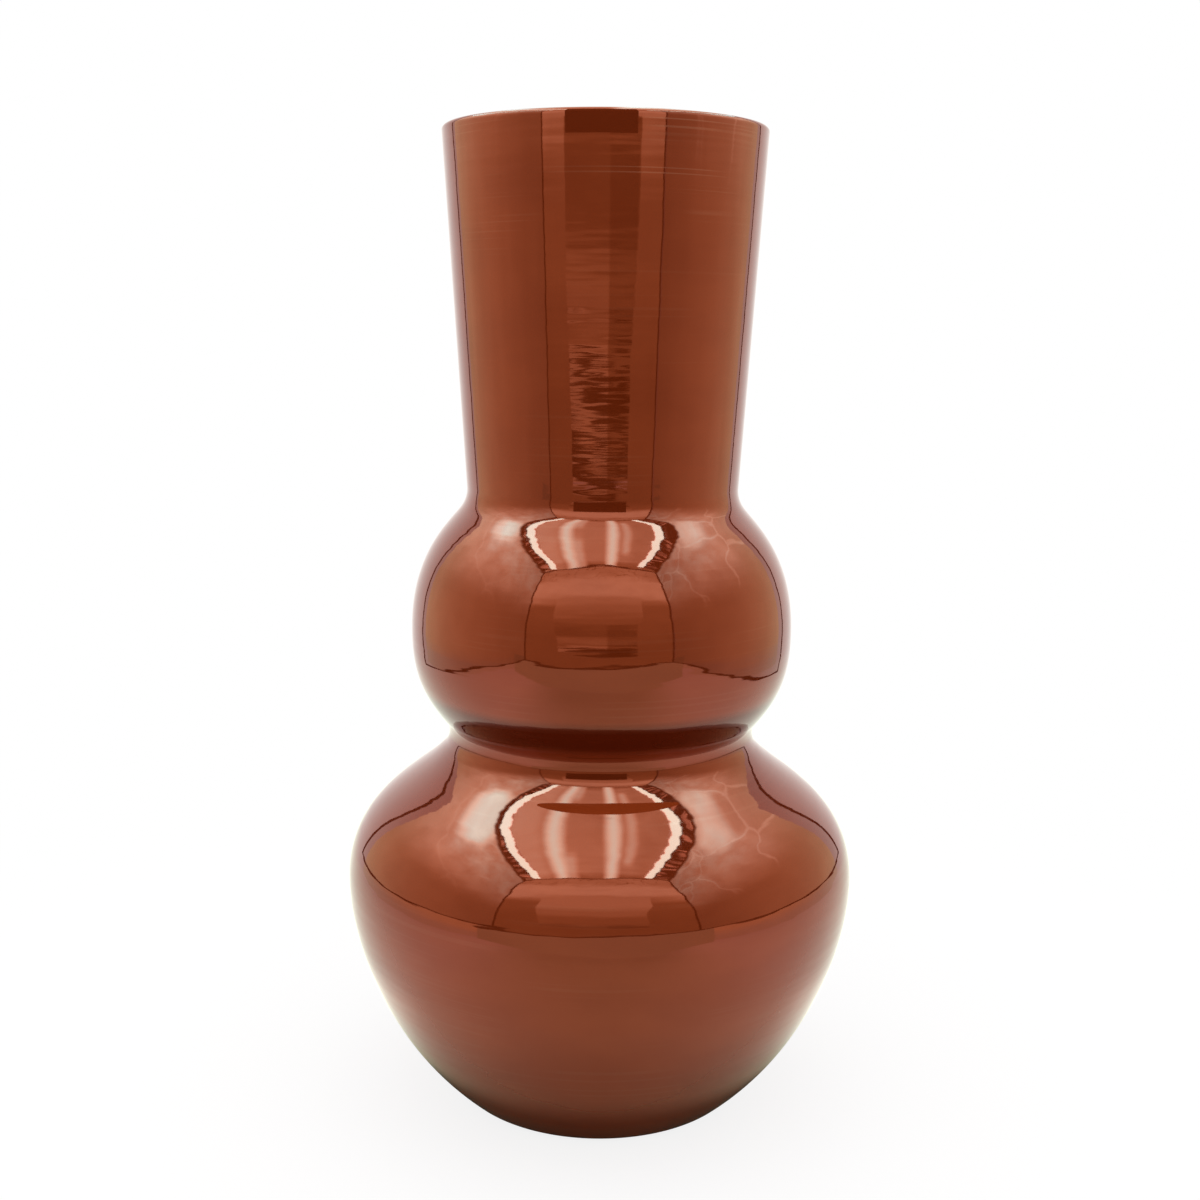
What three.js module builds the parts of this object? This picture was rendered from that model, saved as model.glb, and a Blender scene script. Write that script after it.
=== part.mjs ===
// A lacquered zinc vase of three turned forms: a round belly, a smaller ball on it and a tall neck that opens
// upwards. Five spun shells make it up. Each slips over a collar on the shell below and is soldered there from the
// inside, and the whole stands on four felt pads.
// Millimetres, +Z up. The origin is on the table, on the vase's own axis.
import * as THREE from "three";

// Heights of the five shells, each from its lower seam to its upper one
const bowlHeight = 70.5;
const shoulderHeight = 46.1;
const cupHeight = 32.8;
const crownHeight = 44.2;
const neckHeight = 106.4;

// Outside radii, where the outline is widest or narrowest and at the two ends of the neck
const footRadius = 45.6;
const bellyRadius = 80;
const waistRadius = 48;
const ballRadius = 59.3;
const neckFootRadius = 41.9;
const mouthRadius = 48.7;

// Radii of the two hollow bends: between belly and ball, and between ball and neck
const waistBend = 7.7;
const creaseBend = 9.5;

// How far each flank leans from upright, in degrees
const footLean = 48;
const shoulderLean = 38;
const cupLean = 39.5;
const crownLean = 34;

// How far the outline keeps its direction from each end of a shell before it turns
const bowlFlank = 35.9;
const bowlUpright = 15.7;
const shoulderUpright = 24.7;
const shoulderFlank = 13.6;
const cupFlank = 10.6;
const cupUpright = 12.8;
const crownUpright = 24.2;
const crownFlank = 5.7;

// Sheet, seams and the hem at the mouth, where the sheet is folded double
const wall = 1.2;
const slip = 0.3;
const collarHeight = 6;
const solderHeight = 3;
const hemDepth = 6;

// Foot, with the middle of the bottom pressed up, and the pads under its ring
const footEdgeRadius = 2.5;
const footRingWidth = 15;
const footRecess = 2;
const padRadius = 5;
const padThickness = 1.5;
const padCount = 4;

// Facets round the vase and along its outline
const sidesRound = 48;
const padSides = 24;
const stepsAlong = { bowl: 8, shoulder: 7, waistBelow: 4, waistAbove: 3, cup: 5, crown: 6, crease: 4, neck: 1 };
const collarSteps = 2;
const lipSteps = 6;
const footEdgeSteps = 3;
const solderSteps = 2;

const lacquer = new THREE.MeshStandardMaterial({ color: 0x8a3f2a, roughness: 0.12, metalness: 0 });
const lacquerInside = new THREE.MeshStandardMaterial({ color: 0x7c3826, roughness: 0.3, metalness: 0 });
const felt = new THREE.MeshStandardMaterial({ color: 0x3a3431, roughness: 0.95, metalness: 0 });

const bellyLine = bowlHeight;
const waistLine = bellyLine + shoulderHeight;
const ballLine = waistLine + cupHeight;
const creaseLine = ballLine + crownHeight;
const mouthLine = creaseLine + neckHeight;

const radians = THREE.MathUtils.degToRad;
const at = (radius, height) => new THREE.Vector2(radius, height);
const upright = at(0, 1);
// A direction that leans out from the axis by an angle in radians, and in towards it where that is negative
const leaning = (angle) => at(Math.sin(angle), Math.cos(angle));
const along = (point, direction, distance) => point.clone().addScaledVector(direction, distance);

// A curve that leaves one point along a direction and arrives at another along a second direction
function fair(start, leaves, leaveFor, end, arrives, arriveFor) {
  return new THREE.CubicBezierCurve(start, along(start, leaves, leaveFor), along(end, arrives, -arriveFor), end);
}

// A hollow bend about a centre outside the vase, from one lean of the outline to the next
function bend(centre, radius, leanFrom, leanTo) {
  return new THREE.EllipseCurve(
    centre.x, centre.y, radius, radius, Math.PI - leanFrom, Math.PI - leanTo, true);
}

// The outline, from the foot to the mouth
const neckLean = Math.atan2(mouthRadius - neckFootRadius, neckHeight);
const foot = at(footRadius, 0);
const belly = at(bellyRadius, bellyLine);
const ball = at(ballRadius, ballLine);
const neckFoot = at(neckFootRadius, creaseLine);
const mouth = at(mouthRadius, mouthLine);

const waistCentre = at(waistRadius + waistBend, waistLine);
const waistBelow = bend(waistCentre, waistBend, -radians(shoulderLean), 0);
const waistAbove = bend(waistCentre, waistBend, 0, radians(cupLean));
const creaseCentre = along(neckFoot, at(Math.cos(neckLean), -Math.sin(neckLean)), creaseBend);
const crease = bend(creaseCentre, creaseBend, -radians(crownLean), neckLean);

const footTangent = footEdgeRadius * Math.tan((Math.PI / 2 - radians(footLean)) / 2);
const bowlStart = along(foot, leaning(radians(footLean)), footTangent);
const bowlCurve = fair(bowlStart, leaning(radians(footLean)), bowlFlank - footTangent, belly, upright, bowlUpright);
const shoulderCurve = fair(
  belly, upright, shoulderUpright, waistBelow.getPoint(0), leaning(-radians(shoulderLean)), shoulderFlank);
const cupCurve = fair(
  waistAbove.getPoint(1), leaning(radians(cupLean)), cupFlank, ball, upright, cupUpright);
const crownCurve = fair(ball, upright, crownUpright, crease.getPoint(0), leaning(-radians(crownLean)), crownFlank);
const neckLine = new THREE.LineCurve(neckFoot, mouth);

// The outside of one shell from its curves, and the inside a wall's thickness within it
function skins(...curvesAndSteps) {
  const outside = [];
  const inside = [];
  for (const [curve, steps] of curvesAndSteps) {
    for (let i = outside.length ? 1 : 0; i <= steps; i++) {
      const point = curve.getPoint(i / steps);
      const tangent = curve.getTangent(i / steps);
      outside.push(point);
      inside.push(along(point, at(-tangent.y, tangent.x), wall));
    }
  }
  return { outside, inside };
}

const bowlSkin = skins([bowlCurve, stepsAlong.bowl]);
const shoulderSkin = skins([shoulderCurve, stepsAlong.shoulder], [waistBelow, stepsAlong.waistBelow]);
const cupSkin = skins([waistAbove, stepsAlong.waistAbove], [cupCurve, stepsAlong.cup]);
const crownSkin = skins([crownCurve, stepsAlong.crown], [crease, stepsAlong.crease]);
const neckSkin = skins([neckLine, stepsAlong.neck]);

// The whole inside wall, from which every seam takes its radius
const insideWall = [bowlSkin, shoulderSkin, cupSkin, crownSkin, neckSkin].flatMap((skin) => skin.inside);

function insideRadius(height) {
  let i = 1;
  while (i < insideWall.length - 1 && insideWall[i].y < height) i++;
  const below = insideWall[i - 1];
  const above = insideWall[i];
  if (above.y === below.y) return below.x;
  return THREE.MathUtils.mapLinear(height, below.y, above.y, below.x, above.x);
}

// The inside wall between two heights, with its ends cut level
function insideBetween(low, high) {
  const shortest = wall / 10;
  const within = insideWall.filter((point) => point.y > low + shortest && point.y < high - shortest);
  return [at(insideRadius(low), low), ...within, at(insideRadius(high), high)];
}

// The collar above a seam, that the next shell slips over. It clears that shell's wall and never flares out.
function collarRadius(seam, height) {
  return Math.min(insideRadius(seam), insideRadius(height)) - slip;
}

// The outline of a collar, up its outside and down its inside, then the slope back out to the shell's own wall
function collar(seam) {
  const heights = Array.from({ length: collarSteps + 1 }, (_, i) => seam + (collarHeight * i) / collarSteps);
  const up = heights.map((height) => at(collarRadius(seam, height), height));
  const down = up.map((point) => at(point.x - wall, point.y)).reverse();
  const slopeTop = seam - wall;
  const innermost = collarRadius(seam, seam) - wall;
  return [...up, ...down, at(innermost, slopeTop)];
}

// Height below a seam at which the slope under its collar meets the shell's inside wall
function slopeFoot(seam) {
  return seam - 2 * wall - slip;
}

// A solid of revolution from an outline that closes on itself or starts and ends on the axis
function turned(name, material, outline) {
  const geometry = new THREE.LatheGeometry(outline, sidesRound);
  geometry.rotateX(Math.PI / 2);
  const mesh = new THREE.Mesh(geometry, material);
  mesh.name = name;
  return mesh;
}

// A ring whose outline runs up the outside and down the inside
function ring(name, material, outline) {
  return turned(name, material, [...outline, outline[0]]);
}

// A shell with a plain lower edge and a collar at its upper one
function collaredShell(name, skin, low, high) {
  const insideDown = insideBetween(low, slopeFoot(high)).reverse();
  return ring(name, lacquer, [...skin.outside, ...collar(high), ...insideDown]);
}

// The bowl is spun from one disc, so its bottom is closed
function bowl() {
  const lean = radians(footLean);
  const edgeCentre = at(footRadius - footTangent, footEdgeRadius);
  const edge = [];
  for (let i = 0; i < footEdgeSteps; i++) {
    const turn = ((Math.PI / 2 - lean) * i) / footEdgeSteps;
    edge.push(along(edgeCentre, at(Math.sin(turn), -Math.cos(turn)), footEdgeRadius));
  }
  const ringInside = footRadius - footRingWidth;
  const underside = [at(0, footRecess), at(ringInside - footRecess, footRecess), at(ringInside, 0)];
  const wallUp = insideWall.filter((point) => point.y > wall && point.y < slopeFoot(bellyLine) - wall);
  const floorMeets = at(insideRadius(wall), wall);
  const floor = [
    floorMeets, at(ringInside + wall, wall), at(ringInside - footRecess + wall, footRecess + wall),
    at(0, footRecess + wall),
  ];
  const slope = at(insideRadius(slopeFoot(bellyLine)), slopeFoot(bellyLine));
  const outline = [
    ...underside, ...edge, ...bowlSkin.outside, ...collar(bellyLine), slope, ...wallUp.reverse(), ...floor,
  ];
  return turned("belly_bowl", lacquer, outline);
}

// The neck ends in a hem, its edge folded in and down, with a full round on top
function neck() {
  const lipRadius = wall;
  const lipThickness = 2 * lipRadius;
  const outerAt = (height) => THREE.MathUtils.mapLinear(
    height, creaseLine, mouthLine, neckFootRadius, mouthRadius);
  const roundFrom = mouthLine - lipRadius;
  const centre = at(outerAt(roundFrom) - lipRadius, roundFrom);
  const round = [];
  for (let i = 0; i <= lipSteps; i++) {
    const turn = (Math.PI * i) / lipSteps;
    round.push(along(centre, at(Math.cos(turn), Math.sin(turn)), lipRadius));
  }
  const hemFoot = mouthLine - hemDepth;
  const outline = [
    neckFoot, ...round, at(outerAt(hemFoot) - lipThickness, hemFoot), at(insideRadius(hemFoot), hemFoot),
    at(insideRadius(creaseLine), creaseLine),
  ];
  return ring("neck", lacquer, outline);
}

// The solder on top of a collar: a hollow fillet that thins out up the wall of the shell above
function solder(name, seam) {
  const low = seam + collarHeight;
  const inner = collarRadius(seam, low) - wall;
  const wallAt = (height) => insideRadius(height) - slip;
  const up = [];
  const down = [];
  const thinnest = wall / 5;
  for (let i = 0; i <= solderSteps; i++) {
    const share = i / solderSteps;
    const height = low + solderHeight * share;
    const reach = (wallAt(low) - inner - thinnest) * (1 - share) ** 2 + thinnest;
    up.push(at(wallAt(height), height));
    down.unshift(at(wallAt(height) - reach, height));
  }
  return ring(name, lacquerInside, [...up, ...down]);
}

function pad(number) {
  const angle = (2 * Math.PI * (number + 0.5)) / padCount;
  const radius = footRadius - footRingWidth / 2;
  const mesh = new THREE.Mesh(new THREE.CylinderGeometry(padRadius, padRadius, padThickness, padSides), felt);
  mesh.name = `felt_pad_${number + 1}`;
  mesh.geometry.rotateX(Math.PI / 2);
  mesh.position.set(radius * Math.cos(angle), radius * Math.sin(angle), padThickness / 2);
  return mesh;
}

const body = new THREE.Group();
body.position.z = padThickness;
body.add(
  bowl(),
  collaredShell("belly_shoulder", shoulderSkin, bellyLine, waistLine),
  collaredShell("ball_cup", cupSkin, waistLine, ballLine),
  collaredShell("ball_crown", crownSkin, ballLine, creaseLine),
  neck(),
  solder("belly_seam_solder", bellyLine),
  solder("waist_seam_solder", waistLine),
  solder("ball_seam_solder", ballLine),
  solder("neck_seam_solder", creaseLine),
);

const vase = new THREE.Group();
vase.add(body);
for (let number = 0; number < padCount; number++) vase.add(pad(number));

export default vase;
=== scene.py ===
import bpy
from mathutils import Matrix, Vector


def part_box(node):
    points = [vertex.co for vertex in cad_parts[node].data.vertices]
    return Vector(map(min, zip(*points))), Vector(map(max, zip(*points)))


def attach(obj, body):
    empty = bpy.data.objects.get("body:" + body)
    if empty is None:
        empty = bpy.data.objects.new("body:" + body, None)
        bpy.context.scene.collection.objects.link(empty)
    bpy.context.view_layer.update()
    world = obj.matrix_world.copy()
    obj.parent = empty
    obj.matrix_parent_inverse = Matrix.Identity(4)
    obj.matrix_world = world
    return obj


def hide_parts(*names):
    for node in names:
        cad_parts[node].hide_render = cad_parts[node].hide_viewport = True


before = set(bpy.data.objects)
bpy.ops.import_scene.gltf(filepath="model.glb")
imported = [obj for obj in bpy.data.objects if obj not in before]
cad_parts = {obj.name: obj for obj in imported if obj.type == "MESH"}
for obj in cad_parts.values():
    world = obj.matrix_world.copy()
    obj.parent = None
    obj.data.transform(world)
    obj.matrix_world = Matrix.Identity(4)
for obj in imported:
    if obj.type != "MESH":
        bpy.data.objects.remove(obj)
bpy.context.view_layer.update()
pad_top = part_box("felt_pad_1")[1].z

import bisect
import math

import bmesh
import bpy
from bpy.props import FloatProperty, FloatVectorProperty, IntProperty, PointerProperty
from mathutils import Matrix, Vector

CAMERA_PLACE = (-0.000564, -0.47314, 0.24415)
CAMERA_TILT = 10.182
CAMERA_ROLL = 0.461
LAMP_PLACE = (-0.01, -0.06, 0.56)
LAMP_SIZE = (0.46, 0.44)
DARK = ((1.0, 0.9, 0.8), 0.02)
SHARP_ANGLE = math.radians(28)
ROUND_SEGMENTS = 4
LIP_STEPS = 24
STRIP_SPLAY = 0.13  # how far a strip light comes in for each metre ahead of the vase
STRIP_RIM = 2.2  # level of a strip light's soft rim

bl_info = {
    "name": "Lacquered Spun Vase",
    "version": (1, 0, 0),
    "blender": (4, 5, 0),
    "location": "3D View > Sidebar > Vase",
    "description": "A vase of five spun shells under one coat of lacquer, and the light tent round it",
    "category": "Add Mesh",
}


def length(name, description, millimetres):
    return FloatProperty(
        name=name, description=description, default=millimetres / 1000, unit="LENGTH", precision=5)


def angle(name, description, degrees):
    return FloatProperty(
        name=name, description=description, default=math.radians(degrees), subtype="ANGLE")


def amount(name, description, default):
    return FloatProperty(name=name, description=description, default=default, min=0, precision=4)


def count(name, description, default):
    return IntProperty(name=name, description=description, default=default, min=1)


def colour(name, description, default):
    return FloatVectorProperty(
        name=name, description=description, default=default, subtype="COLOR", size=3, min=0, max=1)


class VaseOutline(bpy.types.PropertyGroup):
    """The outside of the vase, from the underside of the metal to the mouth."""

    bowl_height: length("Bowl height", "From the underside to the widest line of the belly", 70.5)
    shoulder_height: length("Shoulder height", "From the belly's widest line to the waist", 46.1)
    cup_height: length("Cup height", "From the waist to the widest line of the ball", 32.8)
    crown_height: length("Crown height", "From the ball's widest line to the foot of the neck", 44.2)
    neck_height: length("Neck height", "From the foot of the neck to the mouth", 106.4)
    foot_radius: length("Foot radius", "Where the belly's flank would meet the table", 45.6)
    belly_radius: length("Belly radius", "At the widest line of the belly", 80)
    waist_radius: length("Waist radius", "At the narrowest line of the waist", 48)
    ball_radius: length("Ball radius", "At the widest line of the ball", 59.3)
    neck_foot_radius: length("Neck foot radius", "Where the neck rises from the ball", 41.9)
    mouth_radius: length("Mouth radius", "At the top of the neck", 48.7)
    waist_bend: length("Waist bend", "Radius of the hollow bend at the waist", 7.7)
    crease_bend: length("Crease bend", "Radius of the hollow bend at the foot of the neck", 9.5)
    foot_lean: angle("Foot lean", "How far the belly leans out where it leaves the foot", 48)
    shoulder_lean: angle("Shoulder lean", "How far the shoulder leans in towards the waist", 38)
    cup_lean: angle("Cup lean", "How far the ball leans out above the waist", 39.5)
    crown_lean: angle("Crown lean", "How far the ball leans in towards the neck", 34)
    bowl_flank: length("Bowl flank", "How far the belly keeps its direction above the foot", 35.9)
    bowl_upright: length("Bowl upright", "How far it is upright below its widest line", 15.7)
    shoulder_upright: length("Shoulder upright", "How far it is upright above its widest line", 24.7)
    shoulder_flank: length("Shoulder flank", "How far it keeps its direction below the waist", 13.6)
    cup_flank: length("Cup flank", "How far the ball keeps its direction above the waist", 10.6)
    cup_upright: length("Cup upright", "How far it is upright below its widest line", 12.8)
    crown_upright: length("Crown upright", "How far it is upright above its widest line", 24.2)
    crown_flank: length("Crown flank", "How far it keeps its direction below the neck", 5.7)


class VaseSheet(bpy.types.PropertyGroup):
    """The sheet metal, its seams, the hem at the mouth and the foot."""

    wall: length("Wall", "Thickness of the spun sheet", 1.2)
    slip: length("Slip", "Gap between a collar and the shell that slips over it", 0.3)
    collar_height: length("Collar height", "How far a collar stands up inside the next shell", 6)
    solder_height: length("Solder height", "How far the solder climbs above a collar", 3)
    hem_depth: length("Hem depth", "How far the edge of the mouth is folded down inside", 6)
    foot_edge: length("Foot edge", "Radius of the small round between foot and belly", 2.5)
    foot_ring: length("Foot ring", "Width of the flat ring that carries the vase", 15)
    foot_recess: length("Foot recess", "How far the middle of the bottom is pressed up", 2)
    edge_round: length("Edge round", "Radius of the small rounds on cut and pressed edges", 0.35)
    pad_edge: length("Pad edge", "Radius of the round on the edge of a felt pad", 0.4)
    sides: count("Sides", "Facets round each shell", 256)
    steps: count("Steps", "Facets along each curve of the outline", 44)


class VaseFinish(bpy.types.PropertyGroup):
    """The lacquer outside and inside, the coated solder and the felt."""

    lacquer: colour("Lacquer", "Rust brown lacquer", (0.23, 0.027, 0.005))
    lacquer_pale: colour("Thin lacquer", "Where the lacquer is a little thinner", (0.25, 0.032, 0.007))
    # Painted shade: a darker band on the underside of the ball, just above the hollow waist, which lies in
    # shade.
    painted_shade_lacquer: colour("Dark lacquer", "A darker band low on the ball", (0.12, 0.012, 0.002))
    painted_shade_line: length("Dark band", "Height of that band above the table", 128.3)
    painted_shade_reach: length("Dark band reach", "Half the width of that band", 4.5)
    speck: colour("Speck", "Dust caught in the lacquer", (0.5, 0.25, 0.18))
    pit: colour("Pit", "Pinholes in the lacquer", (0.05, 0.01, 0.005))
    inside: colour("Inside", "Lacquer on the inside of the vase", (0.2, 0.03, 0.008))
    solder: colour("Solder", "Lacquer over the solder", (0.19, 0.03, 0.01))
    felt: colour("Felt", "Dark felt of the pads", (0.045, 0.035, 0.031))
    gloss: amount("Gloss", "Roughness of the lacquer outside", 0.03)
    inside_gloss: amount("Inside gloss", "Roughness of the lacquer inside", 0.22)
    depth: amount("Metallic depth", "How far highlights take the colour of the lacquer", 0.45)
    ring_height: amount("Ring height", "Height of the turning rings under the lacquer, in mm", 0.085)
    ripple_height: amount("Ripple height", "Height of the short ripples along the turning rings, in mm", 0.03)
    streak_height: amount("Streak height", "Height of the fine turning streaks, in mm", 0.003)
    wave_height: amount("Wave height", "Height of the slow waves in the sheet, in mm", 0.05)
    dent_height: amount("Dent height", "Height of the small unevenness from tool marks, in mm", 0.014)
    peel_height: amount("Peel height", "Height of the orange peel in the lacquer, in mm", 0.0008)


class VaseStudio(bpy.types.PropertyGroup):
    """The table, the light tent as the lacquer mirrors it, the lamps and the camera."""

    tent_left: length("Tent left", "Left wall of the light tent", -257)
    tent_right: length("Tent right", "Right wall of the light tent", 233)
    tent_front: length("Tent front", "Front wall, towards the camera", -292)
    tent_back: length("Tent back", "Where the side walls end, behind the vase", 175)
    tent_top: length("Tent top", "Height of the ceiling", 512)
    front_hem: length("Front hem", "Lower edge of the walls in front", 89.5)
    back_hem: length("Back hem", "Lower edge of the walls behind", 58)
    seam_width: length("Seam width", "Dark binding along the edges of the cloth", 4.6)
    strip_left: length("Left strip", "Outer edge of the left strip light, abreast of the vase", -253.7)
    strip_right: length("Right strip", "Outer edge of the right strip light, abreast of the vase", 208.2)
    strip_width: length("Strip width", "Width of a strip light", 34)
    door_left: length("Door left", "Left edge of the opening in the front wall, at its foot", -122)
    door_right: length("Door right", "Right edge of that opening, at its foot", 98)
    door_low: length("Door low", "Lower edge of that opening", 133)
    door_high: length("Door high", "Upper edge of that opening", 302)
    white: colour("White", "Background and table as the camera sees them", (1, 1, 1))
    table: colour("Table", "The table in front of the vase, as the lacquer mirrors it", (0.88, 1, 0.7))
    table_open: colour("Open table", "The table beside and behind the vase", (0.94, 1, 0.87))
    outer_gap: length("Outer gap", "From the cloth at each side to the lit screen behind it", 200)
    backdrop: colour("Backdrop", "The lit white wall behind the tent", (1, 0.97, 0.93))
    backdrop_strength: amount("Backdrop strength", "Brightness of that wall in reflections", 1.22)
    cloth_dim: colour("Dim cloth", "The cloth where little light falls on it", (1, 0.76, 0.38))
    cloth_lit: colour("Lit cloth", "The cloth at a middling light", (0.97, 1, 0.74))
    cloth_bright: colour("Bright cloth", "The cloth near the strip lights", (0.62, 1, 0.93))
    strip_light: colour("Strip light", "The two strip lights", (0.35, 0.93, 1))
    strip_strength: amount("Strip strength", "Brightness of the strip lights in reflections", 16.5)
    ambient: amount("Ambient", "Light from all round on the object", 0.75)
    overhead: amount("Overhead", "Power of the soft lamp above, in watts", 0.8)
    lens: amount("Lens", "Focal length of the camera, in mm", 45.95)


class Wire:
    """A shader value that Python sums can use. Each sum on it adds one Math node."""

    def __init__(self, look, socket):
        self.look = look
        self.socket = socket

    def other(self, output):
        return Wire(self.look, self.socket.node.outputs[output])

    def sum(self, operation, first, second):
        return self.look.node("ShaderNodeMath", {"operation": operation}, {0: first, 1: second})

    def __add__(self, value):
        return self.sum("ADD", self, value)

    __radd__ = __add__

    def __sub__(self, value):
        return self.sum("SUBTRACT", self, value)

    def __rsub__(self, value):
        return self.sum("SUBTRACT", value, self)

    def __mul__(self, value):
        return self.sum("MULTIPLY", self, value)

    __rmul__ = __mul__

    def __abs__(self):
        return self.look.node("ShaderNodeMath", {"operation": "ABSOLUTE"}, {0: self})


class Look:
    """The node tree of one material, or of the world."""

    def __init__(self, owner):
        owner.use_nodes = True
        self.owner = owner
        self.tree = owner.node_tree
        self.tree.nodes.clear()

    def node(self, kind, settings=None, sockets=None, output=0):
        added = self.tree.nodes.new(kind)
        for name, value in (settings or {}).items():
            setattr(added, name, value)
        for key, value in (sockets or {}).items():
            if isinstance(value, Wire):
                self.tree.links.new(value.socket, added.inputs[key])
            else:
                added.inputs[key].default_value = value
        return Wire(self, added.outputs[output]) if added.outputs else None

    def place(self):
        return self.node("ShaderNodeTexCoord", output="Object")

    def axes(self, names):
        """The place on these axes, in metres."""
        split = self.node("ShaderNodeSeparateXYZ", {}, {0: self.place()})
        return [split.other(name) for name in names]

    def vector(self, operation, sockets, output=0):
        return self.node("ShaderNodeVectorMath", {"operation": operation}, sockets, output)

    def either(self, first, second):
        """The sum of two values, held between 0 and 1."""
        return self.node("ShaderNodeMath", {"operation": "ADD", "use_clamp": True}, {0: first, 1: second})

    def noise(self, per_metre, detail=2.0):
        """Soft noise with this many blotches to the metre along X, Y and Z."""
        scaled = self.vector("MULTIPLY", {0: self.place(), 1: per_metre})
        return self.node("ShaderNodeTexNoise", {}, {"Vector": scaled, "Scale": 1.0, "Detail": detail})

    def fade(self, value, start, end):
        """0 where the value is at start, 1 where it is at end, with a soft passage between."""
        return self.node(
            "ShaderNodeMapRange", {"interpolation_type": "SMOOTHSTEP"},
            {"Value": value, "From Min": start, "From Max": end, "To Min": 0.0, "To Max": 1.0})

    def band(self, value, centre, half_width, soft):
        """1 within half a width of the centre, fading to 0 outside."""
        return self.fade(abs(value - centre), half_width + soft, max(half_width - soft, 0.0))

    def blend(self, factor, first, second):
        """A colour between two colours."""
        return self.node(
            "ShaderNodeMix", {"data_type": "RGBA"}, {0: factor, 6: opaque(first), 7: opaque(second)},
            output=2)

    def shine(self, shade, strength):
        """An emission. Where its strength changes over the surface, it goes into the colour."""
        if isinstance(strength, Wire):
            shade = self.vector("SCALE", {0: shade, "Scale": strength})
            strength = 1.0
        return self.node("ShaderNodeEmission", {}, {"Color": opaque(shade), "Strength": strength})

    def bump(self, height):
        """The surface normal from a height in millimetres."""
        return self.node("ShaderNodeBump", {}, {"Strength": 1.0, "Distance": 0.001, "Height": height})

    def see_through(self, share, solid):
        """Clear by this share, and solid for the rest."""
        clear = self.node("ShaderNodeBsdfTransparent")
        return self.surface(self.node("ShaderNodeMixShader", {}, {0: share, 1: solid, 2: clear}))

    def coated(self, sockets):
        return self.surface(self.node("ShaderNodeBsdfPrincipled", {}, sockets))

    def surface(self, shader):
        owned_by = "World" if isinstance(self.owner, bpy.types.World) else "Material"
        self.node(f"ShaderNodeOutput{owned_by}", {}, {"Surface": shader})
        return self.owner


def opaque(value):
    """A colour with its alpha, or a wire as it is."""
    return value if isinstance(value, Wire) else (*value, 1.0)


def material(name):
    return Look(bpy.data.materials.new(name))


def specks(look, per_metre, size, share):
    """Small round marks, scattered: this share of the cells of a grid holds one of this size."""
    near = look.node(
        "ShaderNodeTexVoronoi", {}, {"Vector": look.place(), "Scale": per_metre}, output="Distance")
    pick = look.node("ShaderNodeSeparateColor", {}, {0: near.other("Color")})
    chosen = look.fade(pick, 1.0 - share, 1.0 - share + 0.01)
    return look.fade(near, size * per_metre, size * per_metre * 0.4) * chosen


def lacquer_outside(finish):
    look = material("rust_lacquer")
    rings = look.noise((12, 12, 210), 1.0)
    ripples = look.noise((70, 70, 430), 1.0)
    streaks = look.noise((55, 55, 950), 1.0)
    waves = look.noise((70, 70, 110), 1.0)
    dents = look.noise((150, 150, 200), 0.0)
    peel = look.noise((620, 620, 620), 0.0)
    dust = specks(look, 75.0, 0.00028, 0.3)
    holes = specks(look, 58.0, 0.00022, 0.25)
    height = (
        finish.ring_height * rings + finish.ripple_height * ripples + finish.streak_height * streaks
        + finish.wave_height * waves + finish.dent_height * dents + finish.peel_height * peel
        + 0.03 * dust - 0.03 * holes)
    [z] = look.axes("Z")
    mottle = look.fade(look.noise((28, 28, 60), 3.0), 0.35, 0.65)
    lines = look.fade(look.noise((5, 5, 1100), 0.0), 0.6, 0.7)
    turned = lines * look.fade(look.noise((26, 26, 50), 1.0), 0.45, 0.6)
    hairlines = turned * (0.14 + 0.86 * look.fade(z, 0.26, 0.295))
    coat = look.blend(mottle, finish.lacquer, finish.lacquer_pale)
    # Painted shade: this band darkens the lacquer just above the hollow waist, where shade falls.
    coat = look.blend(look.band(z, finish.painted_shade_line, finish.painted_shade_reach, 0.002), coat, finish.painted_shade_lacquer)
    coat = look.blend(hairlines * 0.2, coat, finish.speck)
    coat = look.blend(dust * 0.5, coat, finish.speck)
    coat = look.blend(holes * 0.8, coat, finish.pit)
    return look.coated({
        "Base Color": coat,
        "Metallic": finish.depth,
        "Roughness": finish.gloss + 0.015 * look.noise((40, 40, 700), 2.0) + 0.12 * hairlines,
        "IOR": 1.55,
        "Normal": look.bump(height),
    })


def lacquer_inside(finish):
    look = material("inside_lacquer")
    rings = look.noise((9, 9, 330), 1.0)
    peel = look.noise((420, 420, 420), 2.0)
    cloudy = look.noise((22, 22, 34), 3.0)
    height = 0.012 * rings + 0.004 * peel
    thin = look.fade(cloudy, 0.4, 0.7)
    return look.coated({
        "Base Color": look.blend(thin * 0.5, finish.inside, finish.lacquer),
        "Metallic": finish.depth,
        "Roughness": finish.inside_gloss + 0.14 * cloudy,
        "IOR": 1.5,
        "Normal": look.bump(height),
    })


def coated_solder(finish):
    look = material("coated_solder")
    lumps = look.noise((140, 140, 220), 2.0)
    grain = look.noise((900, 900, 900), 2.0)
    return look.coated({
        "Base Color": look.blend(look.fade(lumps, 0.35, 0.65), finish.solder, finish.inside),
        "Metallic": finish.depth,
        "Roughness": 0.3 + 0.15 * grain,
        "IOR": 1.5,
        "Normal": look.bump(0.16 * lumps + 0.006 * grain),
    })


def pad_felt(finish):
    look = material("pad_felt")
    fibres = look.noise((2600, 2600, 2600), 3.0)
    tufts = look.noise((420, 420, 420), 2.0)
    pale = tuple(1.7 * part for part in finish.felt)
    return look.coated({
        "Base Color": look.blend(look.fade(fibres, 0.35, 0.7), tuple(finish.felt), pale),
        "Roughness": 0.95,
        "Sheen Weight": 0.35,
        "Sheen Roughness": 0.6,
        "Normal": look.bump(0.08 * fibres + 0.12 * tufts),
    })


def shared(name, make):
    """The material of this name, made by the first piece that asks for it."""
    return bpy.data.materials.get(name) or make(bpy.context.scene.vase_finish)


def at(radius, height):
    return Vector((radius, height))


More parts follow.
